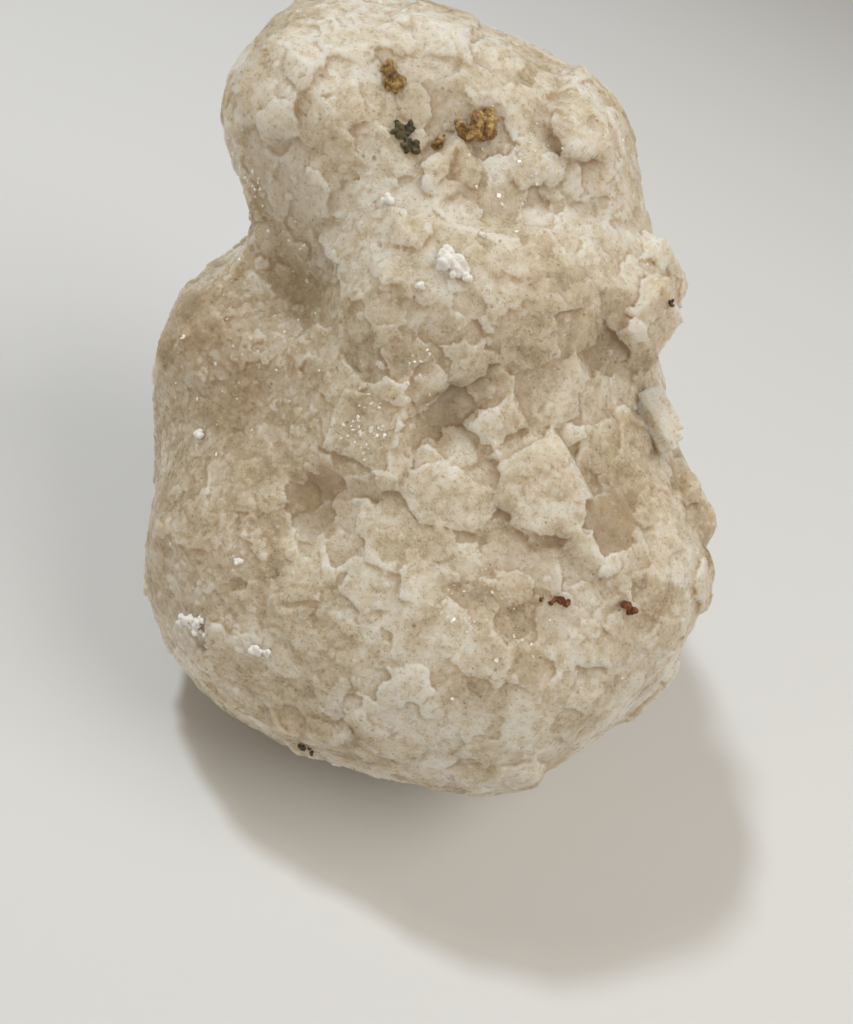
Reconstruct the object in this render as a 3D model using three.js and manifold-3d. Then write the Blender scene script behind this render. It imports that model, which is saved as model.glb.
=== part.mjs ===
// Halite cubic crystal: a hand specimen of intergrown, partly dissolved salt cubes.
// Millimetres, +Z up. The front of the specimen faces -Y and it rests on a flat foot at z = 0.
import * as THREE from 'three';
import { mergeVertices } from 'three/addons/utils/BufferGeometryUtils.js';
import Module from 'manifold-3d';

const wasm = await Module();
wasm.setup();

// ---------------------------------------------------------------- driving dimensions

const HEART = new THREE.Vector3(-2, 2, 55);   // the point that the whole mass is seen from
const REACH = 110;                            // further from the heart than any of the mass
const SKIN_DETAIL = 11;                       // divisions of the skin's icosahedron
const BIT_DETAIL = 1;                         // divisions of a loose bit's icosahedron
const FOOT_CUT = 4;                           // the mass is cut flat at this height
const LOBE_BLEND = 9;                         // rounding between lobes that grow together
const HOLLOW_BLEND = 4;                       // rounding at the rim of a hollow
const CLEARANCE = 0.35;                       // gap between the mass and each loose bit on it

const MILKY_SALT = { color: 0xd8ccb6, roughness: 0.45, metalness: 0 };
const BROWN_CLAY = { color: 0x9a6a2c, roughness: 0.9, metalness: 0 };
const DARK_CLAY = { color: 0x3f3a30, roughness: 0.95, metalness: 0 };
const RUST = { color: 0x7a3a14, roughness: 0.85, metalness: 0 };
const WHITE_BLOOM = { color: 0xf6f3ea, roughness: 0.8, metalness: 0 };

// The rounded lobes of the mass: centre, half sizes, squareness and turn about the vertical.
const LOBES = [
  { name: 'body', at: [3, 4, 38], half: [36, 36, 38], square: 2.4, turn: 0 },
  { name: 'head', at: [-24, 21, 84], half: [23, 22, 23], square: 2.5, turn: 0 },
  { name: 'head, right side', at: [-3, 25, 85], half: [20.5, 18, 20], square: 2.5, turn: 0 },
  { name: 'brow', at: [-4, 3, 72], half: [19, 17, 20], square: 2.6, turn: 20 },
  { name: 'right shoulder', at: [10, 13, 71], half: [18, 18, 19], square: 2.8, turn: 25 },
  { name: 'left shoulder', at: [-26, 4, 50], half: [22, 21, 25], square: 2.4, turn: 0 },
  { name: 'left flank', at: [-17, -15, 33], half: [23, 23, 25], square: 2.4, turn: 0 },
  { name: 'right flank', at: [27.5, -8.5, 41], half: [20.5, 23.5, 24], square: 2.4, turn: 0 },
  { name: 'belly', at: [12.5, -22, 34], half: [25, 23, 24], square: 2.4, turn: 0 },
  { name: 'lower belly', at: [-6, -25, 28.5], half: [22, 17.5, 18.5], square: 2.4, turn: 0 },
  { name: 'back', at: [7, 24, 45], half: [27, 22, 30], square: 2.6, turn: -15 },
];

// Hollows dissolved into the mass: centre, half sizes and turn about the vertical.
const HOLLOWS = [
  { name: 'crown pocket', at: [-13, 5, 105], half: [13, 6, 7], turn: 15 },
  { name: 'crown groove', at: [1, 4, 99], half: [12, 5, 6], turn: 20 },
  { name: 'right eye', at: [20, -5, 83], half: [5, 4, 6], turn: 30 },
  { name: 'middle chink', at: [0, -20, 74], half: [4, 5, 5], turn: 0 },
  { name: 'left chink', at: [-14, -31, 60], half: [4, 5, 5], turn: 0 },
  { name: 'right basin', at: [26, -20, 70], half: [7, 4, 4], turn: 20 },
  { name: 'cleft', at: [21, -34, 60], half: [9, 3, 3], turn: 25 },
  { name: 'neck', at: [-46, 10, 76], half: [11.5, 19, 10.5], turn: -20 },
  { name: 'neck floor', at: [-29, -9, 76], half: [8, 6, 6], turn: -25 },
  { name: 'right notch', at: [39, 12, 74.5], half: [13, 20, 8], turn: 10 },
  { name: 'right nick', at: [44, -6, 67], half: [7, 9, 5], turn: 0 },
];

// Crystals that stand out of the mass. "toward" is the compass and height angle that they are
// seen at from the heart, "tip" how far their broad face is tipped sideways and upward from the
// lie of the skin there, "spin" their turn in that face, "size" their two edges and thickness,
// and "proud" how far they rise from the skin.
const CRYSTALS = [
  { name: 'right corner cube', toward: [108, 45], tip: [-28, -10], spin: 36, size: [12, 12, 11], proud: -0.4 },
  { name: 'stacked plate', toward: [86, 23], tip: [34, 0], spin: 10, size: [10, 10, 2.4], proud: -2.4 },
  { name: 'stacked plate', toward: [90, 23], tip: [34, 0], spin: 10, size: [11, 10, 2.4], proud: -1.2 },
  { name: 'stacked plate', toward: [94, 23], tip: [34, 0], spin: 10, size: [9, 10, 2.4], proud: 0 },
  { name: 'great plate', toward: [39, 23], tip: [-8, -4], spin: 38, size: [11, 11, 8], proud: 1.4 },
  { name: 'upper plate', toward: [68, 31], tip: [-12, -8], spin: 44, size: [10, 10, 8], proud: 1 },
  { name: 'small plate', toward: [29, 39], tip: [0, -6], spin: 50, size: [7, 7, 7], proud: 1.2 },
  { name: 'right plate', toward: [50, 13], tip: [6, -4], spin: 35, size: [9, 9, 8], proud: 1 },
  { name: 'cleft plate', toward: [30, 2], tip: [0, -8], spin: 15, size: [10, 8, 8], proud: 0.8 },
  { name: 'great cube', toward: [-21, 26], tip: [-6, -4], spin: 24, size: [14, 14, 12], proud: 1 },
  { name: 'chink cube', toward: [-13, 47], tip: [-8, 0], spin: 40, size: [7, 7, 7], proud: 1 },
  { name: 'groove cube', toward: [180, 84], tip: [0, -10], spin: 12, size: [6, 6, 6], proud: 1.4 },
  { name: 'groove cube', toward: [-98, 80], tip: [-6, -6], spin: 30, size: [8, 8, 7], proud: 1 },
  { name: 'groove cube', toward: [154, 79], tip: [8, -8], spin: 50, size: [7, 7, 7], proud: 1.4 },
  { name: 'groove cube', toward: [150, 72], tip: [0, 4], spin: 20, size: [8, 8, 8], proud: 1 },
  { name: 'crown crystal', toward: [-141, 63], tip: [0, 0], spin: 24, size: [9, 9, 8], proud: 1 },
  { name: 'right prong', toward: [80, 5], tip: [-20, 10], spin: 40, size: [5, 5, 5], proud: 1.4 },
  { name: 'right rim', toward: [72, -1], tip: [0, 6], spin: 24, size: [8, 8, 8], proud: 0.8 },
];

// The rest of the crystals, spread evenly over the mass by the golden angle.
const SPREAD_COUNT = 84;
const SPREAD_HEIGHTS = [-34, 74];
const SPREAD_EDGE = [6, 14];
const SPREAD_PROUD = [-0.4, 0.6];
const SPREAD_TIP = [-9, 9];
const HOLLOW_MARGIN = 4;                      // none of the spread grows this near to a hollow
const GOLDEN_STEP = 0.618034;

// Clay and rust that sit in the hollows, and white blooms of fresh salt on the skin.
const BITS = [
  { name: 'clay_clot_amber', toward: [-109, 67], half: [1.8, 1.6, 2.6], proud: 0.8, look: BROWN_CLAY },
  { name: 'clay_clot_black', toward: [-98, 71], half: [2.1, 1.4, 1.4], proud: 0.6, look: DARK_CLAY },
  { name: 'clay_clot_ochre', toward: [-110, 77], half: [1.3, 1.2, 1.3], proud: 0.6, look: BROWN_CLAY },
  { name: 'clay_clot_large', toward: [-134, 78], half: [2.6, 2.2, 3], proud: 1.4, look: BROWN_CLAY },
  { name: 'clay_sliver_corner', toward: [99, 47], half: [0.8, 0.8, 2], proud: 0.3, look: DARK_CLAY },
  { name: 'clay_sliver_cleft', toward: [36, 4], half: [2, 0.8, 0.8], proud: 0.3, look: DARK_CLAY },
  { name: 'clay_grain_rim', toward: [-2, -34], half: [1.2, 1, 0.8], proud: 0.3, look: DARK_CLAY },
  { name: 'rust_flake', toward: [50, 3], half: [1, 0.9, 1.7], proud: 0.3, look: RUST },
  { name: 'salt_bloom_great', toward: [-13, 72], half: [3, 2.2, 2.6], proud: 1, look: WHITE_BLOOM },
  { name: 'salt_bloom_brow', toward: [-68, 68], half: [1.5, 1.3, 1.3], proud: 0.8, look: WHITE_BLOOM },
  { name: 'salt_bloom_crest', toward: [-4, 81], half: [0.9, 0.8, 1], proud: 0.5, look: WHITE_BLOOM },
  { name: 'salt_bloom_cheek', toward: [-24, 64], half: [1.1, 0.9, 0.9], proud: 0.5, look: WHITE_BLOOM },
  { name: 'salt_bloom_shoulder', toward: [-55, 1], half: [1.5, 1.2, 1.2], proud: 0.7, look: WHITE_BLOOM },
  { name: 'salt_bloom_flank', toward: [-27, -8], half: [1.3, 1.1, 1.1], proud: 0.7, look: WHITE_BLOOM },
  { name: 'salt_bloom_low', toward: [-30, -21], half: [2.2, 1.4, 2], proud: 0.7, look: WHITE_BLOOM },
  { name: 'salt_bloom_belly', toward: [-16, -19], half: [1.6, 1, 1.1], proud: 0.6, look: WHITE_BLOOM },
];

// ---------------------------------------------------------------- small helpers

const radians = THREE.MathUtils.degToRad;

// A number from 0 to 1 that is always the same for the same seed.
function chance(seed) {
  const wave = Math.sin(seed * 12.9898) * 43758.5453;
  return wave - Math.floor(wave);
}

function between([low, high], share) {
  return low + (high - low) * share;
}

// The unit vector for a compass angle (0 is the front, 90 the right) and a height angle.
function direction([compass, height]) {
  const flat = Math.cos(radians(height));
  return new THREE.Vector3(
    flat * Math.sin(radians(compass)),
    -flat * Math.cos(radians(compass)),
    Math.sin(radians(height)),
  );
}

// A closed geometry with only its shared corners left.
function cornersOnly(geometry) {
  geometry.deleteAttribute('normal');
  geometry.deleteAttribute('uv');
  return mergeVertices(geometry, 1e-4);
}

function solidOf(geometry) {
  const merged = cornersOnly(geometry);
  return new wasm.Manifold(new wasm.Mesh({
    numProp: 3,
    vertProperties: new Float32Array(merged.getAttribute('position').array),
    triVerts: new Uint32Array(merged.getIndex().array),
  }));
}

function geometryOf(solid) {
  const mesh = solid.getMesh();
  const geometry = new THREE.BufferGeometry();
  geometry.setAttribute('position', new THREE.BufferAttribute(mesh.vertProperties.slice(), 3));
  geometry.setIndex(new THREE.BufferAttribute(mesh.triVerts.slice(), 1));
  return geometry;
}

// ---------------------------------------------------------------- the rounded mass

// How far a point is outside a squarish ellipsoid, less than nothing where it is inside.
function gapToLump(point, lump) {
  const turned = point.clone().sub(new THREE.Vector3(...lump.at));
  turned.applyAxisAngle(new THREE.Vector3(0, 0, 1), -radians(lump.turn));
  const power = lump.square ?? 2;
  const shares = turned.toArray().map((value, axis) => Math.abs(value) / lump.half[axis]);
  const level = Math.max(shares.reduce((sum, share) => sum + share ** power, 0) ** (1 / power), 1e-6);
  const slopes = shares.map((share, axis) => (share / level) ** (power - 1) / lump.half[axis]);
  return (level - 1) / Math.hypot(...slopes);
}

function smoothLower(first, second, blend) {
  const overlap = Math.max(blend - Math.abs(first - second), 0) / blend;
  return Math.min(first, second) - overlap * overlap * blend / 4;
}

function gapToMass(point) {
  const lobes = LOBES.map((lobe) => gapToLump(point, lobe));
  const full = lobes.reduce((gap, next) => smoothLower(gap, next, LOBE_BLEND));
  const hollows = HOLLOWS.map((hollow) => gapToLump(point, hollow));
  return hollows.reduce((gap, hollow) => -smoothLower(-gap, hollow, HOLLOW_BLEND), full);
}

// The way the skin faces at a point on it, from how the gap grows around that point.
function skinFacing(point) {
  const probe = 0.5;
  const rise = (axis) => {
    const ahead = point.clone().setComponent(axis, point.getComponent(axis) + probe);
    const behind = point.clone().setComponent(axis, point.getComponent(axis) - probe);
    return gapToMass(ahead) - gapToMass(behind);
  };
  return new THREE.Vector3(rise(0), rise(1), rise(2)).normalize();
}

// The outermost point of the rounded mass in one direction from its heart.
function skinPoint(toward) {
  const at = (distance) => HEART.clone().addScaledVector(toward, distance);
  let inside = REACH;
  while (gapToMass(at(inside)) > 0) inside -= 1;
  let outside = inside + 1;
  for (let round = 0; round < 10; round += 1) {
    const middle = (inside + outside) / 2;
    if (gapToMass(at(middle)) > 0) outside = middle;
    else inside = middle;
  }
  return at(inside);
}

// The skin of the rounded mass, grown outward by "grow".
function skinGeometry(grow) {
  const geometry = cornersOnly(new THREE.IcosahedronGeometry(1, SKIN_DETAIL));
  const places = geometry.getAttribute('position');
  for (let index = 0; index < places.count; index += 1) {
    const toward = new THREE.Vector3().fromBufferAttribute(places, index).normalize();
    const point = skinPoint(toward).addScaledVector(toward, grow);
    places.setXYZ(index, point.x, point.y, point.z);
  }
  return geometry;
}

// ---------------------------------------------------------------- crystals

function crystalGeometry({ toward, tip, spin, size, proud }, grow) {
  const root = skinPoint(direction(toward));
  const outward = skinFacing(root);
  const side = new THREE.Vector3(0, 0, 1).cross(outward).normalize();
  outward.applyAxisAngle(new THREE.Vector3(0, 0, 1), radians(tip[0]));
  outward.applyAxisAngle(side, -radians(tip[1]));
  side.crossVectors(new THREE.Vector3(0, 0, 1), outward).normalize();
  const up = outward.clone().cross(side);
  const centre = root.addScaledVector(outward, proud - size[2] / 2);
  const geometry = new THREE.BoxGeometry(size[0] + 2 * grow, size[1] + 2 * grow, size[2] + 2 * grow);
  geometry.rotateZ(radians(spin));
  geometry.applyMatrix4(new THREE.Matrix4().makeBasis(side, up, outward).setPosition(centre));
  return geometry;
}

function isClearOfHollows({ toward }) {
  const root = skinPoint(direction(toward));
  return HOLLOWS.every((hollow) => gapToLump(root, hollow) > HOLLOW_MARGIN);
}

function spreadCrystals() {
  const levels = SPREAD_HEIGHTS.map((height) => Math.sin(radians(height)));
  const spread = Array.from({ length: SPREAD_COUNT }, (_, index) => {
    const level = between(levels, (index + 0.5) / SPREAD_COUNT);
    const edge = between(SPREAD_EDGE, chance(index + 1));
    return {
      toward: [360 * ((index * GOLDEN_STEP) % 1), THREE.MathUtils.radToDeg(Math.asin(level))],
      tip: [between(SPREAD_TIP, chance(index + 101)), between(SPREAD_TIP, chance(index + 201))],
      spin: between([0, 90], chance(index + 301)),
      size: [edge, edge * between([0.8, 1], chance(index + 401)), edge],
      proud: between(SPREAD_PROUD, chance(index + 501)),
    };
  });
  return spread.filter(isClearOfHollows);
}

// The whole mass as one solid: skin and crystals grown together, cut flat at the foot.
function massSolid(grow) {
  const crystals = [...CRYSTALS, ...spreadCrystals()].map((crystal) => solidOf(crystalGeometry(crystal, grow)));
  const whole = crystals.reduce((mass, crystal) => mass.add(crystal), solidOf(skinGeometry(grow)));
  const below = new THREE.BoxGeometry(2 * REACH, 2 * REACH, REACH);
  below.translate(0, 0, FOOT_CUT - REACH / 2);
  return whole.subtract(solidOf(below));
}

// ---------------------------------------------------------------- loose bits

// The outermost point of the finished mass in one direction from its heart.
function surfacePoint(mass, outward) {
  const start = HEART.clone().addScaledVector(outward, REACH);
  const sight = new THREE.Raycaster(start, outward.clone().negate());
  return sight.intersectObject(new THREE.Mesh(mass))[0].point;
}

// A knobbly lump that sits on the mass, hollowed underneath to fit it with a small gap.
function bitGeometry({ toward, half, proud }, seed, mass, jacket) {
  const outward = direction(toward);
  const centre = surfacePoint(mass, outward).addScaledVector(outward, proud);
  const geometry = cornersOnly(new THREE.IcosahedronGeometry(1, BIT_DETAIL));
  const places = geometry.getAttribute('position');
  const reach = new THREE.Vector3(...half);
  const corner = new THREE.Vector3();
  for (let index = 0; index < places.count; index += 1) {
    corner.fromBufferAttribute(places, index);
    const knobs = Math.sin(5 * corner.x + seed) * Math.sin(4 * corner.y + 2 * seed) * Math.cos(6 * corner.z);
    corner.multiplyScalar(1 + 0.22 * knobs);
    corner.multiply(reach).add(centre);
    places.setXYZ(index, corner.x, corner.y, corner.z);
  }
  const pieces = solidOf(geometry).subtract(jacket).decompose();
  const largest = pieces.reduce((best, piece) => (piece.volume() > best.volume() ? piece : best));
  return geometryOf(largest);
}

// ---------------------------------------------------------------- the specimen

function named(name, geometry, look) {
  const mesh = new THREE.Mesh(geometry, new THREE.MeshStandardMaterial({ ...look, name }));
  mesh.name = name;
  return mesh;
}

function specimen() {
  const group = new THREE.Group();
  const mass = geometryOf(massSolid(0));
  const jacket = massSolid(CLEARANCE);
  group.add(named('halite_cluster', mass, MILKY_SALT));
  BITS.forEach((bit, index) => {
    group.add(named(bit.name, bitGeometry(bit, index + 1, mass, jacket), bit.look));
  });
  mass.computeBoundingBox();
  const middle = mass.boundingBox.getCenter(new THREE.Vector3());
  group.position.set(-middle.x, -middle.y, -FOOT_CUT);
  return group;
}

export default specimen();
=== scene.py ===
"""A hand specimen of halite: milky salt cubes grown together, with clay and white blooms on them."""
import math

import bpy
import numpy as np
from mathutils import Matrix, Vector, noise
from mathutils.bvhtree import BVHTree


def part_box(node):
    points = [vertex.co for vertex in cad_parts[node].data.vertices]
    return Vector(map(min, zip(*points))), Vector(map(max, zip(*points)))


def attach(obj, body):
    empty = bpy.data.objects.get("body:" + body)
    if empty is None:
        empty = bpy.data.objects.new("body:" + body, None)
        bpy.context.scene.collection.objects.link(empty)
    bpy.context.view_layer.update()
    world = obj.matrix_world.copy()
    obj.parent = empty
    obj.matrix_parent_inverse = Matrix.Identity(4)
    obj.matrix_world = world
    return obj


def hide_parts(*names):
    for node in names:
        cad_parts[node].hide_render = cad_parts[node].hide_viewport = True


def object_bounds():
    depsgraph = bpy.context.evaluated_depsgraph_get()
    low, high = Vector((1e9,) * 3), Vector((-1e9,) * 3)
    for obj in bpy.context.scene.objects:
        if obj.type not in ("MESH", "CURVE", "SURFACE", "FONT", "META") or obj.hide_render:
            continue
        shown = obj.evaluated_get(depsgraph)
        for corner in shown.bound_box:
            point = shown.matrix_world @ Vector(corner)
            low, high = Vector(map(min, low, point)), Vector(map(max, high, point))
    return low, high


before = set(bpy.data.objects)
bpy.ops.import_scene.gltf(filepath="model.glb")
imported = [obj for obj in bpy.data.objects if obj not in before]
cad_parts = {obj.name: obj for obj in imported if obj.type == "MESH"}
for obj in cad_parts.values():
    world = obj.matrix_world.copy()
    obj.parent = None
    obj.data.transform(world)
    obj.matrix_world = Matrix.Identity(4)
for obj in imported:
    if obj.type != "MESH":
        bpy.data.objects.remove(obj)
CAD_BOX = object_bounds()

# ---------------------------------------------------------------- driving values, in metres

MM = 0.001
SEED = 4711

CORE_VOXEL = 1.0 * MM           # the rounded core under the crystals
CORE_SOFTENING = 4              # rounds of smoothing on the core
CORE_SPLITS = 2                 # times that the core's facets are split before the crystals are cut
SKIN_TRIANGLES = 196000         # of the finished skin
SEATING_REACH = 20 * MM         # from where a placed crystal is let down on the core
BOX_MARGIN = 0.05 * MM          # nothing comes nearer than this to the outside of the frame's box

# How the crystals pave the mass: middle of a zone, mean edge and relief in millimetres, and lean.
ZONES = (
    ("head", (-30, 8, 96), 5.5, 0.05, 0.030),
    ("crown right", (12, 14, 95), 5.0, 0.10, 0.055),
    ("brow", (-8, -6, 84), 5.0, 0.06, 0.035),
    ("middle", (6, -17, 70), 5.0, 0.09, 0.050),
    ("right", (34, -4, 64), 5.0, 0.15, 0.070),
    ("lower right", (25, -34, 42), 5.5, 0.05, 0.030),
    ("lower left", (-16, -40, 38), 4.0, 0.08, 0.045),
    ("left flank", (-36, -12, 55), 2.8, 0.07, 0.060),
    ("back", (0, 45, 55), 5.5, 0.15, 0.070),
    ("underside", (0, 0, 5), 5.0, 0.10, 0.040),
)
CRYSTAL_TRIES = 16000           # candidates for the paving, of which the crowded ones are dropped
CRYSTAL_SPACING = 0.60          # least distance between two crystals, of their mean edge
CRYSTAL_DEPTH = 3.0 * MM        # how far over and under its face a crystal reaches
STEP_LIMIT = 0.36 * MM           # no crystal face stands farther than this from the core
GRAIN_COUNT = 5200              # small cubes that make the left flank sugary
GRAIN_EDGE = (0.8 * MM, 2.0 * MM)
# The ragged outlines of the crystals: size and reach of each shift, in millimetres.
RAGS = ((3.0, 0.55), (1.0, 0.24), (0.45, 0.12))

# Crystals that stand out: outline, middle, facing, turn in degrees, width and length in millimetres,
# how far each one rises from the core, and how milky it is.
OUTLINES = {"cube": 4, "pentagon": 5, "hexagon": 6}
OUTLINE_SHARES = (0.5, 0.3, 0.2)
FRONT = (0.0, -0.72, 0.69)
PLATES = (
    ("great plate", "pentagon", (16.4, -22.5, 64.2), (0.06, -0.70, 0.71), 62, (10.5, 13.0), 0.45, 0.72),
    ("upper plate", "cube", (12.6, -11.5, 71.5), (0.20, -0.70, 0.69), 24, (8.4, 8.4), 0.30, 0.55),
    ("small tip", "cube", (6.6, -17.5, 69.2), FRONT, 40, (2.2, 3.4), 0.40, 1.00),
    ("bright corner", "cube", (17.8, -14.5, 69.2), FRONT, 45, (3.0, 3.0), 0.40, 1.00),
    ("chink cube", "hexagon", (-3.6, -18.0, 71.5), (-0.1, -0.85, 0.5), 10, (5.0, 6.4), 0.30, 0.50),
    ("sparkling cube", "cube", (-10.0, -22.0, 64.0), (-0.25, -0.76, 0.60), 12, (9.5, 9.5), 0.30, 0.30),
    ("cleft plate", "hexagon", (16.6, -32.0, 54.0), (0.1, -0.70, 0.71), 5, (5.0, 4.6), 0.35, 0.62),
    ("cleft tip", "cube", (9.4, -31.0, 55.5), FRONT, 30, (3.4, 4.2), 0.25, 0.95),
    ("basin block", "cube", (27.2, -21.0, 61.5), (0.3, -0.60, 0.74), 15, (7.5, 8.0), 0.35, 0.50),
    ("basin back", "hexagon", (29.0, -12.5, 65.0), (0.35, -0.58, 0.73), 0, (6.0, 6.5), 0.25, 0.60),
    ("milky band", "pentagon", (4.0, -26.0, 60.5), (-0.05, -0.74, 0.67), 0, (13.0, 8.0), 0.12, 0.95),
    ("right corner", "cube", (25.2, 7.0, 80.0), (0.74, -0.60, 0.30), 38, (12.0, 12.0), 0.10, 0.80),
    ("eye rim", "cube", (14.0, -6.0, 79.5), (0.3, -0.83, 0.48), 20, (6.5, 6.5), 0.15, 0.45),
    ("groove glass", "pentagon", (-0.6, 7.6, 93.0), (0.1, -0.72, 0.69), 15, (5.0, 5.4), 0.45, 0.62),
    ("groove block one", "cube", (-4.0, 6.0, 92.6), (0.2, -0.72, 0.67), 40, (3.4, 3.4), 0.45, 0.95),
    ("groove block two", "cube", (-8.2, 3.2, 92.4), (-0.1, -0.76, 0.64), 10, (3.8, 4.2), 0.35, 0.55),
    ("groove block three", "cube", (-11.8, 1.6, 92.0), (0.1, -0.72, 0.69), 60, (3.2, 3.0), 0.30, 0.75),
    ("groove block four", "hexagon", (3.2, 9.0, 93.6), (0.3, -0.70, 0.65), 0, (4.2, 4.2), 0.45, 0.95),
    ("groove block five", "cube", (6.4, 9.6, 93.0), (0.2, -0.74, 0.64), 25, (3.0, 3.6), 0.30, 0.70),
    ("crown crystal", "cube", (-17.4, 18.0, 103.0), (-0.1, -0.50, 0.86), 30, (8.0, 8.5), 0.25, 1.00),
    ("crown neighbour", "cube", (-9.0, 18.5, 102.0), (0.15, -0.46, 0.88), 55, (7.0, 6.6), 0.25, 0.75),
    ("pocket crystal", "hexagon", (-17.4, 7.4, 97.0), (0.2, -0.62, 0.76), 10, (4.6, 5.6), 0.45, 0.20),
    ("rough patch", "pentagon", (-2.0, -36.0, 49.0), (-0.1, -0.70, 0.71), 20, (8.0, 6.5), 0.17, 0.90),
    ("low facet", "cube", (-12.0, -36.5, 46.5), (-0.25, -0.68, 0.69), 35, (6.0, 6.0), 0.15, 0.40),
    ("flank ledge", "cube", (-25.5, -27.5, 50.5), (-0.45, -0.55, 0.70), 50, (7.0, 7.5), 0.15, 0.60),
)

# Brown spots, partly real staining and partly painted shade in the chinks, pockets, basin, cleft and under the great
# plate, and cloudy white ones: middle, radius and strength, in millimetres.
STAINS_AND_SHADE = (
    ("neck", (-36, 0, 80), 10, 0.35),
    ("neck floor", (-26, -5, 70), 9, 0.60),
    ("left shoulder", (-34, -14, 62), 16, 0.60),
    ("right eye", (18.1, -1.9, 77.7), 4.2, 0.5),
    ("middle chink", (-1.2, -16.8, 67.5), 3.4, 0.6),
    ("left chink", (-13, -27.5, 53.5), 4.5, 1.0),
    ("right basin", (25.5, -18.5, 62.0), 5.0, 1.0),
    ("under the great plate", (18.5, -28, 58), 4.0, 0.5),
    ("cleft", (21, -32, 54), 4.0, 0.5),
    ("crown pocket", (-13, 6, 97), 6.0, 0.35),
    ("lower left", (-34, -30, 36), 13, 0.42),
)
MILKS = (
    ("head", (-31.8, 2.4, 95), 13, 1.0),
    ("crown", (-18, 18, 103), 8, 0.8),
    ("crown right", (12, 12, 93), 12, 0.9),
    ("brow", (-8, -4, 84), 10, 0.4),
    ("neck front", (-22, 0, 86), 11, 0.9),
    ("milky band", (2, -27, 59.5), 7, 0.4),
    ("lower middle", (12, -40, 38), 13, 0.7),
    ("lower right", (30, -30, 45), 15, 0.6),
)

# Where clear chips lie thickest: middle, radius and number, in millimetres.
CHIP_PATCHES = (
    ("sparkling cube", (-9.5, -22.0, 64.5), 3.6, 46),
    ("groove", (-1.0, 7.0, 93.0), 7.0, 50),
    ("neck", (-36, -1, 79), 9.0, 40),
    ("flank", (-32, -14, 60), 14.0, 40),
    ("brow foot", (-6.0, -17.5, 73.5), 3.0, 14),
    ("low right", (14.0, -36.0, 48.0), 12.0, 30),
)
CHIP_COUNT = 120                # chips strewn everywhere
CHIP_EDGE = (0.16 * MM, 0.48 * MM)

# The striated stack on the right: where it sits, the way it faces, its turn, and for each slab how far
# across, along and out it lies and how long it is, in millimetres.
STACK_MIDDLE = (30.6, -0.6, 65.8)
STACK_FACING = (0.0, -0.72, 0.70)
STACK_TURN = -41
STACK_SLABS = (
    (-2.1, 0.4, -0.2, 8.4),
    (-0.8, 0.0, 0.5, 9.8),
    (0.5, -0.4, 0.2, 9.2),
    (1.8, -0.9, -0.5, 7.8),
)
SLAB_THICKNESS = 1.2
SLAB_DEPTH = 7.0
SLAB_VOXEL = 0.20 * MM

CAMERA_LENS = 35.0
CAMERA_HEIGHT_ANGLE = 44.0      # degrees that the camera looks down
CAMERA_ROLL = 18.5              # degrees that the picture leans
CAMERA_DISTANCE = 175 * MM
CAMERA_AIM = (1.8 * MM, -0.65 * MM, 32.0 * MM)

FLOOR_SIZE = 1.6
FLOOR_COLOUR = (0.73, 0.745, 0.77)

# Heaps on the skin: node, finish, number of clumps and of lumps, the least and greatest lump in
# millimetres, how far they spread over the node's box, the remeshing voxel and the powder's depth.
HEAPS = (
    ("clay_clot_amber", "ochre", 3, 40, (0.6, 1.6), 1.0, 0.11, 0.40),
    ("clay_clot_black", "dark", 5, 50, (0.5, 1.1), 1.3, 0.10, 0.30),
    ("clay_clot_ochre", "ochre", 2, 24, (0.4, 1.1), 1.1, 0.10, 0.30),
    ("clay_clot_large", "ochre", 4, 80, (0.7, 1.7), 1.0, 0.11, 0.45),
    ("clay_sliver_corner", "dark", 2, 12, (0.3, 0.6), 0.8, 0.08, 0.10),
    ("clay_sliver_cleft", "rust", 4, 26, (0.4, 0.8), 1.1, 0.08, 0.12),
    ("clay_grain_rim", "dark", 3, 14, (0.4, 0.8), 1.0, 0.08, 0.10),
    ("rust_flake", "rust", 3, 26, (0.6, 1.1), 0.8, 0.08, 0.16),
    ("salt_bloom_great", "bloom", 4, 80, (0.6, 1.4), 0.80, 0.10, 0.12),
    ("salt_bloom_brow", "bloom", 2, 22, (0.4, 0.9), 0.8, 0.09, 0.10),
    ("salt_bloom_crest", "bloom", 1, 12, (0.4, 0.8), 0.7, 0.09, 0.10),
    ("salt_bloom_cheek", "bloom", 1, 12, (0.4, 0.8), 0.8, 0.09, 0.10),
    ("salt_bloom_shoulder", "bloom", 2, 22, (0.4, 1.0), 0.8, 0.09, 0.10),
    ("salt_bloom_flank", "bloom", 1, 16, (0.4, 1.0), 0.7, 0.09, 0.10),
    ("salt_bloom_low", "bloom", 5, 60, (0.4, 1.1), 1.1, 0.10, 0.10),
    ("salt_bloom_belly", "bloom", 3, 26, (0.4, 0.9), 1.0, 0.09, 0.10),
)
OCHRE_STOPS = ((0.36, (0.06, 0.03, 0.01)), (0.50, (0.30, 0.17, 0.05)), (0.64, (0.62, 0.46, 0.20)))
DARK_STOPS = ((0.38, (0.015, 0.014, 0.008)), (0.60, (0.15, 0.12, 0.05)))
RUST_STOPS = ((0.38, (0.04, 0.012, 0.004)), (0.64, (0.30, 0.10, 0.02)))

random = np.random.RandomState(SEED)


# ---------------------------------------------------------------- small helpers

def deselect_all():
    bpy.ops.object.select_all(action="DESELECT")


def make_active(piece):
    deselect_all()
    piece.select_set(True)
    bpy.context.view_layer.objects.active = piece


def add_modifier(piece, kind, **settings):
    """Adds a modifier, applies it and leaves only its result."""
    make_active(piece)
    modifier = piece.modifiers.new(kind.title(), kind)
    for name, value in settings.items():
        setattr(modifier, name, value)
    bpy.ops.object.modifier_apply(modifier=modifier.name)


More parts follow.
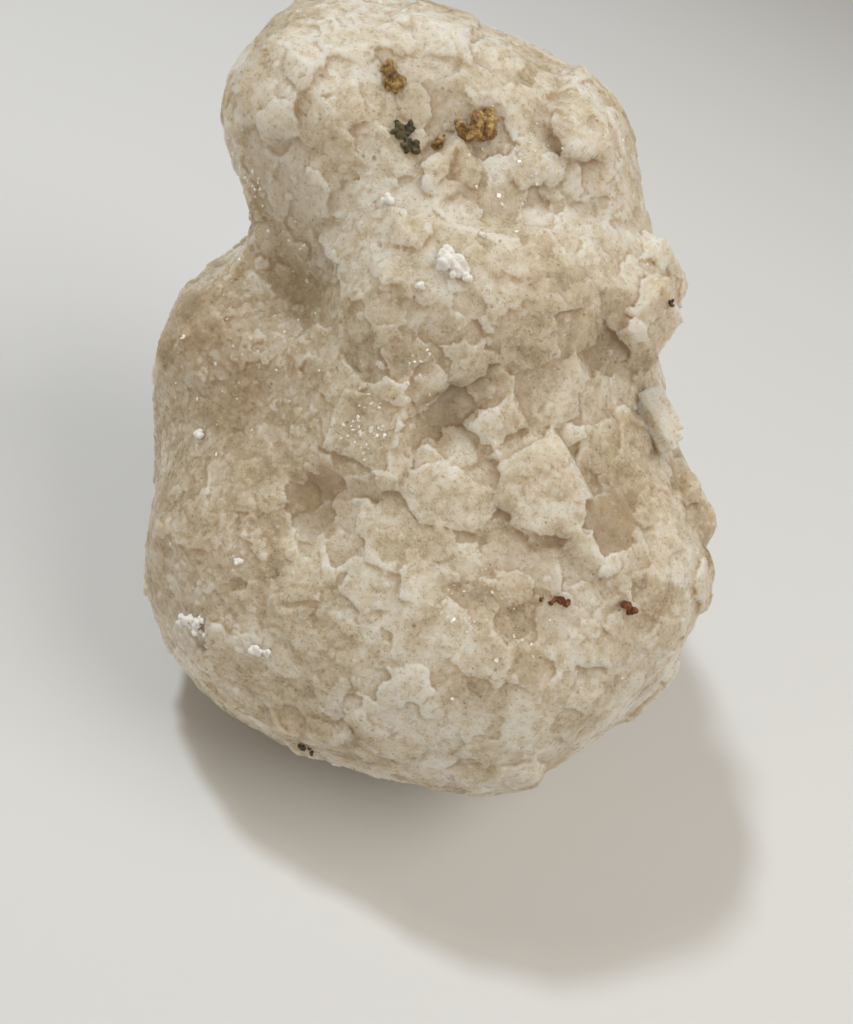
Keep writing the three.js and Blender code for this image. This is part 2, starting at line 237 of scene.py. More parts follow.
def add_relief(piece, name, kind, size, strength, **settings):
    """Moves the skin in and out by a solid texture."""
    texture = bpy.data.textures.new(name, kind)
    texture.noise_scale = size
    for key, value in settings.items():
        setattr(texture, key, value)
    add_modifier(piece, "DISPLACE", texture=texture, strength=strength, mid_level=0.5, texture_coords="LOCAL")


def corners_of(mesh):
    places = np.empty(len(mesh.vertices) * 3)
    mesh.vertices.foreach_get("co", places)
    return places.reshape(-1, 3)


def place_corners(mesh, places):
    mesh.vertices.foreach_set("co", places.ravel())
    mesh.update()


def corner_normals(mesh):
    normals = np.empty(len(mesh.vertices) * 3)
    mesh.vertices.foreach_get("normal", normals)
    return normals.reshape(-1, 3)


def face_lists(mesh):
    return [tuple(face.vertices) for face in mesh.polygons]


def new_piece(name, places, faces):
    mesh = bpy.data.meshes.new(name)
    mesh.from_pydata([tuple(place) for place in places], [], faces)
    mesh.update()
    piece = bpy.data.objects.new(name, mesh)
    bpy.context.scene.collection.objects.link(piece)
    return piece


def copy_node(node, name):
    """A merged copy of a fixed node that can be worked on."""
    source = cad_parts[node]
    piece = bpy.data.objects.new(name, source.data.copy())
    bpy.context.scene.collection.objects.link(piece)
    piece.data.materials.clear()
    make_active(piece)
    bpy.ops.object.mode_set(mode="EDIT")
    bpy.ops.mesh.select_all(action="SELECT")
    bpy.ops.mesh.remove_doubles(threshold=1e-6)
    bpy.ops.mesh.normals_make_consistent(inside=False)
    bpy.ops.object.mode_set(mode="OBJECT")
    return piece


def join_pieces(pieces):
    make_active(pieces[0])
    for piece in pieces[1:]:
        piece.select_set(True)
    bpy.ops.object.join()
    return bpy.context.view_layer.objects.active


def keep_in_box(piece):
    """Presses the piece's outermost corners back to just inside the frame's box."""
    low = np.array(CAD_BOX[0]) + BOX_MARGIN
    high = np.array(CAD_BOX[1]) - BOX_MARGIN
    low[2] = CAD_BOX[0][2]
    place_corners(piece.data, np.clip(corners_of(piece.data), low, high))


def set_attribute(piece, name, values):
    layer = piece.data.attributes.new(name, "FLOAT", "POINT")
    layer.data.foreach_set("value", np.asarray(values, dtype=np.float32))


def shade_smooth(piece):
    piece.data.polygons.foreach_set("use_smooth", [True] * len(piece.data.polygons))
    piece.data.update()


def unit_rows(rows):
    return rows / np.maximum(np.linalg.norm(rows, axis=1, keepdims=True), 1e-12)


# ---------------------------------------------------------------- many small things as joined arrays

def lift_template(piece):
    """Takes a modelled crystal's corners and faces, and removes it."""
    places = corners_of(piece.data)
    faces = face_lists(piece.data)
    bpy.data.objects.remove(piece)
    return places, faces


def small_cube():
    deselect_all()
    bpy.ops.mesh.primitive_cube_add(size=1)
    return lift_template(bpy.context.active_object)


def sample_skin(piece, count, weights=None):
    """Points spread over the piece's faces by area, with their normals."""
    mesh = piece.data
    total = len(mesh.polygons)
    area = np.empty(total)
    centre = np.empty(total * 3)
    normal = np.empty(total * 3)
    mesh.polygons.foreach_get("area", area)
    mesh.polygons.foreach_get("center", centre)
    mesh.polygons.foreach_get("normal", normal)
    centre = centre.reshape(-1, 3)
    normal = normal.reshape(-1, 3)
    share = area if weights is None else area * weights(centre, normal)
    picked = random.choice(total, count, p=share / share.sum())
    spread = np.sqrt(area[picked])[:, None] * random.uniform(-0.5, 0.5, (count, 3))
    spread -= normal[picked] * (spread * normal[picked]).sum(1, keepdims=True)
    return centre[picked] + spread, normal[picked]


def frames_on(normals, lean):
    """Random orthonormal frames whose third axis leans a little from each normal."""
    count = len(normals)
    third = unit_rows(normals + random.uniform(-1, 1, (count, 3)) * np.reshape(lean, (-1, 1)))
    first = unit_rows(np.cross(third, random.normal(size=(count, 3))))
    second = np.cross(third, first)
    return np.stack((first, second, third), axis=2)


def frame_towards(facing, turn_degrees):
    """A frame whose third axis faces one way, turned about it from the level."""
    third = Vector(facing).normalized()
    level = Vector((0, 0, 1)).cross(third).normalized()
    first = Matrix.Rotation(math.radians(turn_degrees), 3, third) @ level
    second = third.cross(first)
    return np.array((first, second, third)).T


def scatter(name, template, places, turns, sizes):
    """Joined copies of a template, one at each place."""
    corners, faces = template
    moved = np.einsum("nij,nkj->nki", turns, corners[None] * sizes[:, None, :]) + places[:, None, :]
    step = len(corners)
    all_faces = [tuple(c + step * index for c in face) for index in range(len(places)) for face in faces]
    return new_piece(name, moved.reshape(-1, 3), all_faces)


# ---------------------------------------------------------------- the intergrown mass

def zone_values(places):
    """The mean crystal edge, the relief and the lean at each place, blended from the nearest zones."""
    weight = np.empty((len(places), len(ZONES)))
    for column, zone in enumerate(ZONES):
        distance = np.linalg.norm(places / MM - np.array(zone[1]), axis=1)
        weight[:, column] = 1 / (distance + 2) ** 5
    weight /= weight.sum(1, keepdims=True)
    edge, relief, lean = (weight @ np.array([zone[column] for zone in ZONES]) for column in (2, 3, 4))
    return edge * MM, relief * MM, lean


def thin_out(places, edges, normals):
    """Drops each crystal that would sit too near a larger one."""
    order = np.argsort(-edges)
    kept = []
    for index in order:
        if kept:
            chosen = np.array(kept)
            gap = np.linalg.norm(places[chosen] - places[index], axis=1)
            room = CRYSTAL_SPACING * (edges[chosen] + edges[index]) / 2
            if (gap < room).any():
                continue
        kept.append(index)
    kept = np.array(kept)
    return places[kept], edges[kept], normals[kept]


def paving_crystals(core):
    """Crystal faces of many sizes, side by side all over the core."""
    places, normals = sample_skin(core, CRYSTAL_TRIES)
    edges = zone_values(places)[0] * random.uniform(0.45, 1.60, CRYSTAL_TRIES)
    places, edges, normals = thin_out(places, edges, normals)
    _, relief, lean = zone_values(places)
    count = len(places)
    sizes = edges[:, None] * random.uniform(0.80, 1.20, (count, 2))
    seats = places + normals * (relief * random.uniform(-0.6, 1.0, count))[:, None]
    sides = random.choice(list(OUTLINES.values()), count, p=OUTLINE_SHARES)
    return seats, frames_on(normals, lean), sizes, sides, random.uniform(0, 1, count)


def skin_tree(piece):
    return BVHTree.FromPolygons(corners_of(piece.data).tolist(), face_lists(piece.data))


def seat_on(tree, middle, facing):
    """The point of the skin that lies straight under a place, seen from the side it faces."""
    outward = Vector(facing).normalized()
    start = Vector(middle) * MM + outward * SEATING_REACH
    return tree.ray_cast(start, -outward)[0], outward


def placed_crystals(core):
    """The crystals that stand out, each seated on the core."""
    tree = skin_tree(core)
    seats, turns, sizes, sides, tones = [], [], [], [], []
    for _, outline, middle, facing, turn, size, proud, tone in PLATES:
        seat, outward = seat_on(tree, middle, facing)
        seats.append(np.array(seat + outward * proud * MM))
        turns.append(frame_towards(facing, turn))
        sizes.append(np.array(size) * MM)
        sides.append(OUTLINES[outline])
        tones.append(tone)
    return tuple(np.array(values) for values in (seats, turns, sizes, sides, tones))


def flank_weight(places):
    side = np.clip((-places[:, 0] / MM - 10) / 12, 0, 1)
    low = np.clip((84 - places[:, 2] / MM) / 10, 0, 1)
    front = np.clip((30 - places[:, 1] / MM) / 20, 0, 1)
    return side * low * front + 0.25


def sugar_grains(places, normals):
    """Small crystals frozen on the left flank and, more thinly, elsewhere."""
    share = flank_weight(places)
    picked = random.choice(len(places), GRAIN_COUNT, p=share / share.sum())
    edges = random.uniform(*GRAIN_EDGE, GRAIN_COUNT)
    sizes = edges[:, None] * random.uniform(0.7, 1.1, (GRAIN_COUNT, 2))
    seats = places[picked] + normals[picked] * (edges * random.uniform(0.02, 0.12, GRAIN_COUNT))[:, None]
    sides = random.choice(list(OUTLINES.values()), GRAIN_COUNT, p=OUTLINE_SHARES)
    return seats, frames_on(normals[picked], 0.16), sizes, sides, random.uniform(0, 1, GRAIN_COUNT)


def ragged(places):
    """The places with small random shifts, so that the crystals' outlines wander."""
    shifted = places.copy()
    for size, reach in RAGS:
        spots = (places / (size * MM)).tolist()
        shifted += np.array([noise.noise_vector(spot) for spot in spots]) * reach * MM
    return shifted


def sorted_by_cell(places, cell):
    """Index spans of the places that share a cube of space."""
    keys = np.floor(places / cell).astype(int)
    order = np.lexsort(keys.T)
    keys = keys[order]
    change = np.flatnonzero(np.any(np.diff(keys, axis=0) != 0, axis=1)) + 1
    ends = np.concatenate(([0], change, [len(order)]))
    return {tuple(keys[first]): order[first:last] for first, last in zip(ends[:-1], ends[1:])}


def places_near(spans, middle, reach, cell):
    low = np.floor((middle - reach) / cell).astype(int)
    high = np.floor((middle + reach) / cell).astype(int)
    found = []
    for i in range(low[0], high[0] + 1):
        for j in range(low[1], high[1] + 1):
            for k in range(low[2], high[2] + 1):
                if (i, j, k) in spans:
                    found.append(spans[i, j, k])
    return np.concatenate(found) if found else np.empty(0, dtype=int)


def outline_reach(local, size, sides):
    """How far out a place lies in a crystal's outline: one on its border."""
    across = local[:, 0] / (size[0] / 2)
    along = local[:, 1] / (size[1] / 2)
    angles = 2 * math.pi * np.arange(sides) / sides
    return np.max([across * math.cos(a) + along * math.sin(a) for a in angles], axis=0)


def owners_of(places, crystals, limit, strength=1.0):
    """Which crystal holds each place (or -1): the one in whose outline the place lies deepest."""
    cell = 3 * MM
    spans = sorted_by_cell(places, cell)
    owner = np.full(len(places), -1)
    best = np.full(len(places), limit * strength)
    for index, (seat, turn, size, sides, _) in enumerate(zip(*crystals)):
        near = places_near(spans, seat, size.max() / 2 * limit, cell)
        local = (places[near] - seat) @ turn
        out = np.maximum(outline_reach(local, size, sides), np.abs(local[:, 2]) / CRYSTAL_DEPTH) * strength
        closer = out < best[near]
        best[near[closer]] = out[closer]
        owner[near[closer]] = index
    return owner


def cut_faces(places, normals, crystals, owner, limit):
    """Moves each held place along its normal to its crystal's face."""
    held = owner >= 0
    seats, turns = crystals[0][owner[held]], crystals[1][owner[held]]
    facing = turns[:, :, 2]
    steep = np.maximum((normals[held] * facing).sum(1), 0.5)
    lift = ((seats - places[held]) * facing).sum(1) / steep
    moved = places.copy()
    moved[held] += normals[held] * np.clip(lift, -limit, limit)[:, None]
    return moved


def cut_crystals(mass, paving, placed):
    """Cuts the crystals' faces into the skin; gives the tone and the crystal's place at each corner."""
    places = corners_of(mass.data)
    normals = corner_normals(mass.data)
    wandering = ragged(places)
    crystals = [np.concatenate(pair) for pair in zip(paving, placed)]
    owner = owners_of(wandering, paving, 2.0)
    chosen = owners_of(wandering, placed, 1.0)
    owner = np.where(chosen >= 0, chosen + len(paving[0]), owner)
    tone = np.where(owner >= 0, crystals[4][owner], 0.5)
    cells = np.where(owner[:, None] >= 0, crystals[0][owner], places)
    cut = cut_faces(places, normals, crystals, owner, STEP_LIMIT)
    grains = sugar_grains(cut, normals)
    owner = owners_of(wandering + cut - places, grains, 1.0)
    tone = np.where(owner >= 0, 0.5 * tone + 0.5 * grains[4][owner], tone)
    cells = np.where(owner[:, None] >= 0, grains[0][owner], cells)
    cut = cut_faces(cut, normals, grains, owner, STEP_LIMIT / 2)
    place_corners(mass.data, cut)
    return tone, cells


def halite_mass():
    mass = copy_node("halite_cluster", "halite_skin")
    add_modifier(mass, "REMESH", mode="VOXEL", voxel_size=CORE_VOXEL)
    add_modifier(mass, "SMOOTH", factor=0.5, iterations=CORE_SOFTENING)
    paving, placed = paving_crystals(mass), placed_crystals(mass)
    add_modifier(mass, "SUBSURF", levels=CORE_SPLITS)
    tone, cells = cut_crystals(mass, paving, placed)
    add_relief(mass, "swell", "CLOUDS", 9 * MM, 0.5 * MM, noise_depth=1)
    add_relief(mass, "pitting", "CLOUDS", 1.6 * MM, 0.28 * MM, noise_depth=2)
    keep_in_box(mass)
    mark_skin(mass, tone, cells)
    share = SKIN_TRIANGLES / (2 * len(mass.data.polygons))
    add_modifier(mass, "DECIMATE", ratio=min(share, 1.0))
    keep_in_box(mass)
    shade_smooth(mass)
    return mass


def neighbour_mean(values, edges, degree):
    total = np.zeros_like(values)
    for axis in range(values.shape[1]):
        total[:, axis] = (
            np.bincount(edges[:, 0], values[edges[:, 1], axis], len(values))
            + np.bincount(edges[:, 1], values[edges[:, 0], axis], len(values))
        )
    return total / degree[:, None]


def hollowness(piece, rounds):
    """How far each corner lies below the smoothed skin, in millimetres, after each number of rounds."""
    mesh = piece.data
    edges = np.empty(len(mesh.edges) * 2, dtype=np.int32)
    mesh.edges.foreach_get("vertices", edges)
    edges = edges.reshape(-1, 2)
    degree = np.maximum(np.bincount(edges.ravel(), minlength=len(mesh.vertices)), 1)
    start = corners_of(mesh)
    normals = corner_normals(mesh)
    smooth = start.copy()
    depths = []
    for number in range(max(rounds)):
        smooth = neighbour_mean(smooth, edges, degree)
        if number + 1 in rounds:
            depths.append(((smooth - start) * normals).sum(1) / MM)
    return depths


def spot_strength(places, spots):
    """How strongly a list of soft round spots colours each place, from 0 to 1."""
    total = np.zeros(len(places))
    for _, middle, radius, strength in spots:
        distance = np.linalg.norm(places / MM - np.array(middle), axis=1) / radius
        total = np.maximum(total, strength * np.clip(1.6 - distance, 0, 1))
    return total


def mark_skin(piece, tone, cells):
    places = corners_of(piece.data)
    crease, hollow_shade = hollowness(piece, (5, 90))
    # Brown spots: partly real staining, partly painted shade in chinks, pockets and under the great plate.
    set_attribute(piece, "stain_and_shade", 0.3 * spot_strength(places, STAINS_AND_SHADE) + 0.7 * spot_strength(cells, STAINS_AND_SHADE))
    set_attribute(piece, "milk", 0.5 * spot_strength(places, MILKS) + 0.5 * spot_strength(cells, MILKS))
    # Painted shade: how deep a corner lies in a narrow crease, for a tan tint there.
    set_attribute(piece, "crease", np.clip(crease * 9, 0, 1))
    # Painted highlight: how far a corner stands out from its neighbours, for a pale tint there.
    set_attribute(piece, "rim", np.clip(-crease * 9, 0, 1))
    # Painted shade: how deep a corner lies in a broad hollow, for a tan tint there.
    set_attribute(piece, "hollow_shade", np.clip(hollow_shade * 1.3, 0, 1))
    set_attribute(piece, "tone", tone)


def striated_stack():
    """Thin salt slabs side by side, grown into the right of the mass."""
    turn = frame_towards(STACK_FACING, STACK_TURN)
    count = len(STACK_SLABS)
    places = [np.array(STACK_MIDDLE) + turn @ np.array((along, across, out)) for across, along, out, _ in STACK_SLABS]
    sizes = [(length, SLAB_THICKNESS, SLAB_DEPTH) for _, _, _, length in STACK_SLABS]
    stack = scatter("striated_stack", small_cube(), np.array(places) * MM, np.array([turn] * count), np.array(sizes) * MM)
    add_modifier(stack, "REMESH", mode="VOXEL", voxel_size=SLAB_VOXEL)
    add_modifier(stack, "SMOOTH", factor=0.5, iterations=2)
    add_relief(stack, "slab_wear", "CLOUDS", 1.6 * MM, 0.40 * MM, noise_depth=2)
    keep_in_box(stack)
    for name, value in (("tone", 0.75), ("milk", 0.6)):
        set_attribute(stack, name, np.full(len(stack.data.vertices), value))
    shade_smooth(stack)
    return stack


# ---------------------------------------------------------------- clay, rust and blooms

def lump_template(detail):
    deselect_all()
    bpy.ops.mesh.primitive_ico_sphere_add(subdivisions=detail, radius=0.5)
    return lift_template(bpy.context.active_object)


def seat_from_front(tree, place):
    """The skin's point and normal behind a place as seen from the front, or else the nearest ones."""
    ahead = Vector(FRONT).normalized()
    seat, outward, _, _ = tree.ray_cast(Vector(place) + ahead * SEATING_REACH, -ahead)
    if seat is None:
        seat, outward, _, _ = tree.find_nearest(Vector(place))
    return seat, outward


def lumps_on_skin(node, tree, clumps, count, size, spread):
    """Small lumps heaped in clumps on the skin around a fixed node, as joined arrays."""
    low, high = (np.array(corner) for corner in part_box(node))
    middle = (low + high) / 2
    reach = (high - low) / 2 * spread
    centres = middle + random.uniform(-0.75, 0.75, (clumps, 3)) * reach
    places = centres[random.randint(clumps, size=count)] + random.normal(size=(count, 3)) * reach * 0.24
    normals = np.empty((count, 3))
    sizes = random.uniform(*size, (count, 1)) * MM * random.uniform(0.7, 1.2, (count, 3))
    for index in range(count):
        seat, outward = seat_from_front(tree, places[index])
        places[index] = np.array(seat) + np.array(outward) * sizes[index, 2] * random.uniform(-0.1, 0.6)
        normals[index] = outward
    return scatter(node + "_heap", lump_template(2), places, frames_on(normals, 0.5), sizes)


def heap(node, tree, clumps, count, size, spread, voxel, powder):
    """A crumbly heap that stands for a fixed node."""
    piece = lumps_on_skin(node, tree, clumps, count, size, spread)
    add_modifier(piece, "REMESH", mode="VOXEL", voxel_size=voxel * MM)
    add_relief(piece, node + "_powder", "CLOUDS", powder * 2.0 * MM, powder * MM, noise_depth=2)
    keep_in_box(piece)
    shade_smooth(piece)
    return piece


def salt_chips(tree, mass):
    """Tiny clear chips that glint on the skin."""
    places, normals = [], []
    for _, middle, radius, count in CHIP_PATCHES:
        for _ in range(count):
            guess = Vector(middle) * MM + Vector(random.normal(size=3)) * radius * 0.5 * MM
            seat, outward, _, _ = tree.find_nearest(guess)
            places.append(seat)
            normals.append(outward)
    strewn, strewn_normals = sample_skin(mass, CHIP_COUNT)
    places = np.concatenate((np.array(places), strewn))
    normals = np.concatenate((np.array(normals), strewn_normals))
    count = len(places)
    sizes = random.uniform(*CHIP_EDGE, (count, 1)) * random.uniform(0.5, 1.3, (count, 3))
    sizes[:, 2] *= 0.5
    chips = scatter("salt_chips", small_cube(), places, frames_on(normals, 0.55), sizes)
    keep_in_box(chips)
    return chips


# ---------------------------------------------------------------- shader helpers

def new_material(name):
    material = bpy.data.materials.new(name)
    material.use_nodes = True
    return material, material.node_tree.nodes, material.node_tree.links


def texture_node(nodes, links, kind, vector, **values):
    node = nodes.new(kind)
    for key, value in values.items():
        node.inputs[key].default_value = value
    links.new(vector, node.inputs["Vector"])
    return node


def ramp_node(nodes, links, factor, stops):
    node = nodes.new("ShaderNodeValToRGB")
    ramp = node.color_ramp
    while len(ramp.elements) < len(stops):
        ramp.elements.new(0.5)
    for element, (position, colour) in zip(ramp.elements, stops):
        element.position = position
        element.color = (*colour, 1)
    links.new(factor, node.inputs["Fac"])
    return node.outputs["Color"]


def mix_colour(nodes, links, factor, first, second, blend="MIX"):
    node = nodes.new("ShaderNodeMix")
    node.data_type = "RGBA"
    node.blend_type = blend
    for socket, value in ((node.inputs[0], factor), (node.inputs[6], first), (node.inputs[7], second)):
        if isinstance(value, (int, float)):
            socket.default_value = value
        elif isinstance(value, tuple):
            socket.default_value = (*value, 1)
        else:
            links.new(value, socket)
    return node.outputs[2]


def math_node(nodes, links, operation, first, second=0.0, third=0.0, clamp=False):
    node = nodes.new("ShaderNodeMath")
    node.operation = operation
    node.use_clamp = clamp
    for socket, value in zip(node.inputs, (first, second, third)):
        if isinstance(value, (int, float)):
            socket.default_value = value
        else:
            links.new(value, socket)
    return node.outputs[0]


def attribute_value(nodes, name):
    node = nodes.new("ShaderNodeAttribute")
    node.attribute_name = name
    return node.outputs["Fac"]


def object_coordinates(nodes):
    return nodes.new("ShaderNodeTexCoord").outputs["Object"]


# ---------------------------------------------------------------- materials

SMOKY = (0.55, 0.47, 0.35)
CREAM = (0.74, 0.65, 0.49)
MILK = (0.86, 0.79, 0.67)
FROST = (0.97, 0.94, 0.87)
TAN = (0.50, 0.36, 0.20)
BROWN = (0.34, 0.22, 0.09)
UMBER = (0.18, 0.12, 0.06)
PALE = (0.97, 0.95, 0.90)


def start_group(name, inputs, outputs):
    """A shader node group with named inputs (name: default) and outputs."""
    group = bpy.data.node_groups.new(name, "ShaderNodeTree")
    for label, default in inputs.items():
        kind = "NodeSocketVector" if default is None else "NodeSocketFloat"
        socket = group.interface.new_socket(label, in_out="INPUT", socket_type=kind)
        if default is not None:
            socket.default_value = default
    for label in outputs:
        group.interface.new_socket(label, in_out="OUTPUT", socket_type="NodeSocketFloat")
    nodes, links = group.nodes, group.links
    return group, nodes, links, nodes.new("NodeGroupInput").outputs, nodes.new("NodeGroupOutput").inputs


def use_group(nodes, links, group, vector, **values):
    node = nodes.new("ShaderNodeGroup")
    node.node_tree = group
    links.new(vector, node.inputs["Vector"])
    for label, value in values.items():
        node.inputs[label].default_value = value
    return node.outputs


def below(nodes, links, value, soft_from, soft_to):
    """One where the value is under soft_from, falling to nothing at soft_to."""
    node = nodes.new("ShaderNodeMapRange")
    node.interpolation_type = "SMOOTHSTEP"
    for label, number in (("From Min", soft_from), ("From Max", soft_to), ("To Min", 1.0), ("To Max", 0.0)):
        socket = node.inputs[label]
        if isinstance(number, (int, float)):
            socket.default_value = number
        else:
            links.new(number, socket)
    links.new(value, node.inputs["Value"])
    return node.outputs["Result"]


def facet_group():
    """A tone for each of many small blocky facets with wandering outlines."""
    group, nodes, links, given, put = start_group(
        "facet_tones", {"Vector": None, "Scale": 500.0, "Wander": 0.002}, ("Tone",))
    wander = nodes.new("ShaderNodeTexNoise")
    wander.inputs["Detail"].default_value = 3.0
    links.new(given["Vector"], wander.inputs["Vector"])
    links.new(given["Scale"], wander.inputs["Scale"])
    shift = nodes.new("ShaderNodeVectorMath")
    shift.operation = "MULTIPLY_ADD"
    links.new(wander.outputs["Color"], shift.inputs[0])
    links.new(given["Wander"], shift.inputs[1])
    links.new(given["Vector"], shift.inputs[2])
    cells = nodes.new("ShaderNodeTexVoronoi")
    cells.distance = "CHEBYCHEV"
    links.new(shift.outputs[0], cells.inputs["Vector"])
    links.new(given["Scale"], cells.inputs["Scale"])
    tone = nodes.new("ShaderNodeSeparateColor")
    links.new(cells.outputs["Color"], tone.inputs["Color"])
    links.new(tone.outputs["Red"], put["Tone"])
    return group


def speck_group():
    """Scattered small spots, some cells empty."""
    group, nodes, links, given, put = start_group(
        "dark_specks", {"Vector": None, "Scale": 500.0, "Size": 0.15, "Rarity": 0.7}, ("Mask",))
    cells = nodes.new("ShaderNodeTexVoronoi")
    links.new(given["Vector"], cells.inputs["Vector"])
    links.new(given["Scale"], cells.inputs["Scale"])
    chance = nodes.new("ShaderNodeSeparateColor")
    links.new(cells.outputs["Color"], chance.inputs["Color"])
    chosen = math_node(nodes, links, "GREATER_THAN", chance.outputs["Red"], given["Rarity"])
    reach = math_node(nodes, links, "MULTIPLY", given["Size"], chance.outputs["Green"])
    spot = below(nodes, links, cells.outputs["Distance"], math_node(nodes, links, "MULTIPLY", reach, 0.6), reach)
    links.new(math_node(nodes, links, "MULTIPLY", spot, chosen), put["Mask"])
    return group


def curl_group():
    """Short curved scratches: thin stretches of a wandering line."""
    group, nodes, links, given, put = start_group(
        "curved_marks", {"Vector": None, "Scale": 300.0, "Width": 0.02, "Rarity": 0.6}, ("Mask",))
    line = nodes.new("ShaderNodeTexNoise")
    line.inputs["Detail"].default_value = 1.0
    links.new(given["Vector"], line.inputs["Vector"])
    links.new(given["Scale"], line.inputs["Scale"])
    off = math_node(nodes, links, "ABSOLUTE", math_node(nodes, links, "SUBTRACT", line.outputs["Fac"], 0.5))
    thin = below(nodes, links, off, 0.0, given["Width"])
    breaks = nodes.new("ShaderNodeTexNoise")
    breaks.inputs["Detail"].default_value = 2.0
    links.new(given["Vector"], breaks.inputs["Vector"])
    links.new(math_node(nodes, links, "MULTIPLY", given["Scale"], 1.7), breaks.inputs["Scale"])
    part = math_node(nodes, links, "GREATER_THAN", breaks.outputs["Fac"], given["Rarity"])
    links.new(math_node(nodes, links, "MULTIPLY", thin, part), put["Mask"])
    return group


def scaled(nodes, links, value, gain, lift=0.0):
    return math_node(nodes, links, "MULTIPLY_ADD", value, gain, lift, clamp=True)


def product(nodes, links, first, second):
    return math_node(nodes, links, "MULTIPLY", first, second, clamp=True)


def halite_material():
    material, nodes, links = new_material("milky_halite")
    place = object_coordinates(nodes)
    clouds = texture_node(nodes, links, "ShaderNodeTexNoise", place, Scale=85.0, Detail=5.0, Roughness=0.62,
                          Distortion=0.6).outputs["Fac"]
    mottle = texture_node(nodes, links, "ShaderNodeTexNoise", place, Scale=430.0, Detail=6.0,
                          Roughness=0.72).outputs["Fac"]
    grit = texture_node(nodes, links, "ShaderNodeTexNoise", place, Scale=1900.0, Detail=4.0,
                        Roughness=0.8).outputs["Fac"]
    specks = use_group(nodes, links, speck_group(), place, Scale=560.0, Size=0.20, Rarity=0.72)
    curls = use_group(nodes, links, curl_group(), place, Scale=430.0, Width=0.012, Rarity=0.62)

    facets = facet_group()
    coarse = use_group(nodes, links, facets, place, Scale=430.0, Wander=0.0025)["Tone"]
    small = use_group(nodes, links, facets, place, Scale=1150.0, Wander=0.0012)["Tone"]
    tone = scaled(nodes, links, attribute_value(nodes, "tone"), 0.60)
    tone = math_node(nodes, links, "MULTIPLY_ADD", coarse, 0.34, tone)
    tone = math_node(nodes, links, "MULTIPLY_ADD", small, 0.22, tone)
    tone = math_node(nodes, links, "MULTIPLY_ADD", attribute_value(nodes, "milk"), 0.45, tone)
    tone = math_node(nodes, links, "MULTIPLY_ADD", clouds, 2.2, math_node(nodes, links, "SUBTRACT", tone, 1.19))
    body = ramp_node(nodes, links, tone, ((0.0, SMOKY), (0.30, CREAM), (0.65, MILK), (1.0, FROST)))
    fine = ramp_node(nodes, links, mottle, ((0.36, (0.70, 0.62, 0.48)), (0.56, (1, 1, 1))))
    body = mix_colour(nodes, links, 0.7, body, fine, "MULTIPLY")
    sand = ramp_node(nodes, links, grit, ((0.34, (0.45, 0.36, 0.24)), (0.44, (1, 1, 1))))
    body = mix_colour(nodes, links, 0.8, body, sand, "MULTIPLY")
    body = mix_colour(nodes, links, below(nodes, links, grit, 0.68, 0.60), body, PALE)
    # Painted shade: tan mixed into the deep hollows of the skin.
    body = mix_colour(nodes, links, scaled(nodes, links, attribute_value(nodes, "hollow_shade"), 0.35), body, TAN)
    # Brown spots: partly real staining, partly painted shade in chinks, pockets and under the great plate.
    stain_and_shade = product(nodes, links, attribute_value(nodes, "stain_and_shade"), scaled(nodes, links, mottle, 0.8, 0.30))
    body = mix_colour(nodes, links, stain_and_shade, body, BROWN)
    # Painted shade: tan along the narrow creases between the crystals.
    crease = product(nodes, links, attribute_value(nodes, "crease"), scaled(nodes, links, mottle, 2.4, -0.75))
    body = mix_colour(nodes, links, crease, body, TAN)
    # Painted highlight: pale tint on the raised edges of the crystals.
    rim = product(nodes, links, attribute_value(nodes, "rim"), scaled(nodes, links, clouds, 2.5, -1.0))
    body = mix_colour(nodes, links, rim, body, PALE)
    marks = scaled(nodes, links, math_node(nodes, links, "MAXIMUM", specks["Mask"], curls["Mask"]), 0.5)
    body = mix_colour(nodes, links, marks, body, UMBER)

    shader = nodes["Principled BSDF"]
    shader.inputs["Subsurface Weight"].default_value = 0.8
    shader.inputs["Subsurface Radius"].default_value = (1.0, 0.80, 0.58)
    shader.inputs["Subsurface Scale"].default_value = 6.0 * MM
    shader.inputs["IOR"].default_value = 1.544
    shader.inputs["Transmission Weight"].default_value = 0.12
    links.new(body, shader.inputs["Base Color"])
    links.new(scaled(nodes, links, mottle, 0.8, -0.05), shader.inputs["Roughness"])
    height = math_node(nodes, links, "MULTIPLY_ADD", grit, 0.4, mottle)
    bump = nodes.new("ShaderNodeBump")
    bump.inputs["Strength"].default_value = 0.8
    bump.inputs["Distance"].default_value = 0.40 * MM
    links.new(height, bump.inputs["Height"])
    links.new(bump.outputs["Normal"], shader.inputs["Normal"])
    return material


def chip_material():
    material, nodes, links = new_material("clear_chips")
    place = object_coordinates(nodes)
    haze = texture_node(nodes, links, "ShaderNodeTexNoise", place, Scale=1500.0, Detail=2.0).outputs["Fac"]
    shader = nodes["Principled BSDF"]
    shader.inputs["IOR"].default_value = 1.544
    shader.inputs["Specular IOR Level"].default_value = 0.8
    links.new(ramp_node(nodes, links, haze, ((0.35, MILK), (0.55, (1, 0.99, 0.97)))), shader.inputs["Base Color"])
    links.new(scaled(nodes, links, haze, 0.4, 0.02), shader.inputs["Roughness"])
    return material


def clay_material(name, stops, crumb_scale):
    material, nodes, links = new_material(name)
    place = object_coordinates(nodes)
    crumbs = texture_node(nodes, links, "ShaderNodeTexNoise", place, Scale=crumb_scale, Detail=5.0,
                          Roughness=0.7).outputs["Fac"]
    shader = nodes["Principled BSDF"]
    links.new(ramp_node(nodes, links, crumbs, stops), shader.inputs["Base Color"])
    links.new(scaled(nodes, links, crumbs, 0.5, 0.35), shader.inputs["Roughness"])
    bump = nodes.new("ShaderNodeBump")
    bump.inputs["Strength"].default_value = 0.8
    bump.inputs["Distance"].default_value = 0.2 * MM
    links.new(crumbs, bump.inputs["Height"])
    links.new(bump.outputs["Normal"], shader.inputs["Normal"])
    return material


